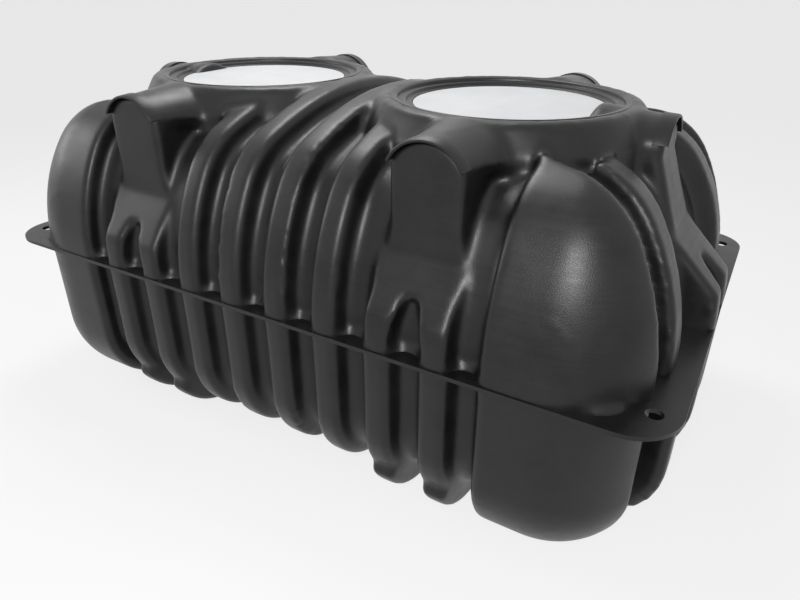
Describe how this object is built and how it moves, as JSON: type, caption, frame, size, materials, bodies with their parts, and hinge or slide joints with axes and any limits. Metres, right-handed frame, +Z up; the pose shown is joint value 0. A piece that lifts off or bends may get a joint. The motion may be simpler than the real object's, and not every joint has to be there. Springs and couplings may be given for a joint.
{
  "type": "septic tank",
  "caption": "Low flat septic tank moulded in two ribbed half shells, with manway necks and covers, hooded pipe connection pads, rounded ends and a seam flange.",
  "frame": {"origin": "floor level under the middle of the tank", "axes": "+X along the length, +Y across it, +Z up"},
  "size_m": [2.447, 1.443, 1.186],
  "materials": {
    "shell": "satin black polyethylene with a fine moulded grain",
    "cover": "matt light grey"
  },
  "bodies": {
    "root": {"lower_shell": "shell", "lower_end_left": "shell", "lower_end_right": "shell", "lower_corners_left": "shell", "lower_corners_right": "shell", "lower_ribs_left": "shell", "lower_ribs_right": "shell", "foot_front_left": "shell", "foot_front_right": "shell", "foot_back_left": "shell", "foot_back_right": "shell", "seam_flange": "shell", "upper_shell": "shell", "end_panel_left": "shell", "end_panel_right": "shell", "corner_front_left": "shell", "corner_front_right": "shell", "corner_back_left": "shell", "corner_back_right": "shell", "end_rib_front_left": "shell", "end_rib_front_right": "shell", "end_rib_back_left": "shell", "end_rib_back_right": "shell", "pad_front_left": "shell", "pad_front_right": "shell", "pad_back_left": "shell", "pad_back_right": "shell", "pad_end_left": "shell", "pad_end_right": "shell", "hood_front_left": "shell", "hood_front_right": "shell", "hood_back_left": "shell", "hood_back_right": "shell", "hood_end_left": "shell", "hood_end_right": "shell", "legs_front_left": "shell", "legs_front_right": "shell", "legs_back_left": "shell", "legs_back_right": "shell", "legs_end_left": "shell", "legs_end_right": "shell", "neck_left": "shell", "neck_right": "shell", "cover_left": "cover", "cover_right": "cover"}
  },
  "joints": []
}
